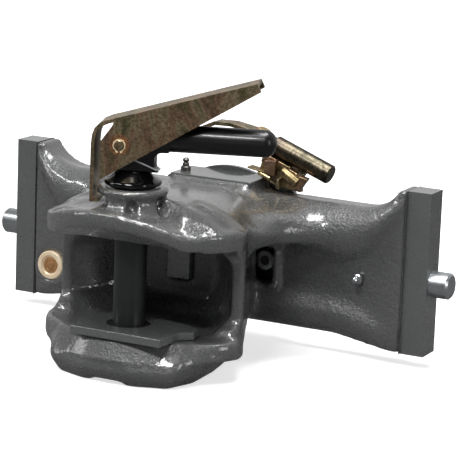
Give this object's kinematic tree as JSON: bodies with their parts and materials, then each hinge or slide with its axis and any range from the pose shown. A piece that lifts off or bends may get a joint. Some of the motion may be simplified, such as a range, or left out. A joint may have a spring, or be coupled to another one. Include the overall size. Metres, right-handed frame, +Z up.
{
  "type": "automatic hitch coupling",
  "caption": "Automatic hitch coupling that slides in a tractor's ladder rails, with a lifting pin and handle, a squeeze latch, a trigger in the mouth and a lever that draws in its lock bolts.",
  "frame": {"origin": "The coupling point: the coupling pin's axis at half the height of the mouth.", "axes": "+X to the right as the trailer sees it, along the lock bolts; +Y back to the tractor; +Z up along the coupling pin."},
  "size_m": [0.5, 0.279, 0.285],
  "materials": {
    "cast_enamel": "glossy dark grey enamel over rough cast iron",
    "dark_steel": "dark oiled steel",
    "pin_paint": "satin dark grey paint",
    "black_gloss": "gloss black",
    "yellow_zinc": "iridescent yellow zinc plating",
    "bright_zinc": "bright zinc plating",
    "cream_brass": "dull pale brass"
  },
  "bodies": {
    "frame": {"hitch_body": "cast_enamel", "lower_wear_plate": "cast_enamel", "upper_bush": "dark_steel", "lower_bush": "dark_steel", "trigger_spring": "bright_zinc", "lock_spring_right": "bright_zinc", "lock_spring_left": "bright_zinc", "mechanism_cover": "cast_enamel", "cover_screws": "bright_zinc", "top_grease_nipple": "dark_steel", "side_grease_nipple": "dark_steel", "side_plug": "cream_brass"},
    "pin": {"coupling_pin": "pin_paint", "pin_bell": "black_gloss", "lift_handle": "black_gloss", "handle_cross_pin": "dark_steel", "handle_grip": "black_gloss", "latch_spring": "bright_zinc", "latch_pivot_pin": "yellow_zinc"},
    "latch": {"latch_lever": "yellow_zinc", "latch_washers": "yellow_zinc", "latch_circlips": "dark_steel"},
    "trigger": {"trigger_slide": "cast_enamel"},
    "lock_lever": {"lock_shaft": "bright_zinc", "lock_cam": "bright_zinc", "lock_shaft_nut": "bright_zinc", "lock_lever_arm": "yellow_zinc", "lock_lever_bracket": "yellow_zinc", "lock_lever_bar": "yellow_zinc", "lock_lever_strip": "yellow_zinc", "lock_lever_bolt": "yellow_zinc", "lock_lever_nut": "yellow_zinc"},
    "right_bolt": {"lock_bolt_right": "bright_zinc", "lock_peg_right": "dark_steel"},
    "left_bolt": {"lock_bolt_left": "bright_zinc", "lock_peg_left": "dark_steel"}
  },
  "joints": [
    {"name": "pin_lift", "type": "slide", "parent": "frame", "child": "pin", "axis": [0, 0, 1], "range_m": [0, 0.126]},
    {"name": "latch_squeeze", "type": "hinge", "parent": "pin", "child": "latch", "pos_m": [-0.01024, -0.00373, 0.1294], "axis": [-0.342, 0.9397, 0], "range_deg": [0, 14], "stiffness_Nm_per_rad": 2, "springref_deg": -11.46},
    {"name": "trigger_press", "type": "slide", "parent": "frame", "child": "trigger", "axis": [0, 1, 0], "range_m": [0, 0.016], "stiffness_N_per_m": 1500, "springref_m": -0.005},
    {"name": "lock_lever_swing", "type": "hinge", "parent": "frame", "child": "lock_lever", "pos_m": [0, 0.2, -0.008], "axis": [0, -1, 0], "range_deg": [0, 36], "stiffness_Nm_per_rad": 8, "springref_deg": -11.46},
    {"name": "right_bolt_slide", "type": "slide", "parent": "frame", "child": "right_bolt", "axis": [-1, 0, 0], "range_m": [0, 0.02401]},
    {"name": "left_bolt_slide", "type": "slide", "parent": "frame", "child": "left_bolt", "axis": [1, 0, 0], "range_m": [0, 0.02401]}
  ],
  "couplings": [
    {"joint": "right_bolt_slide", "follows": "lock_lever_swing", "m_per_rad": 0.038197},
    {"joint": "left_bolt_slide", "follows": "lock_lever_swing", "m_per_rad": 0.038197}
  ]
}
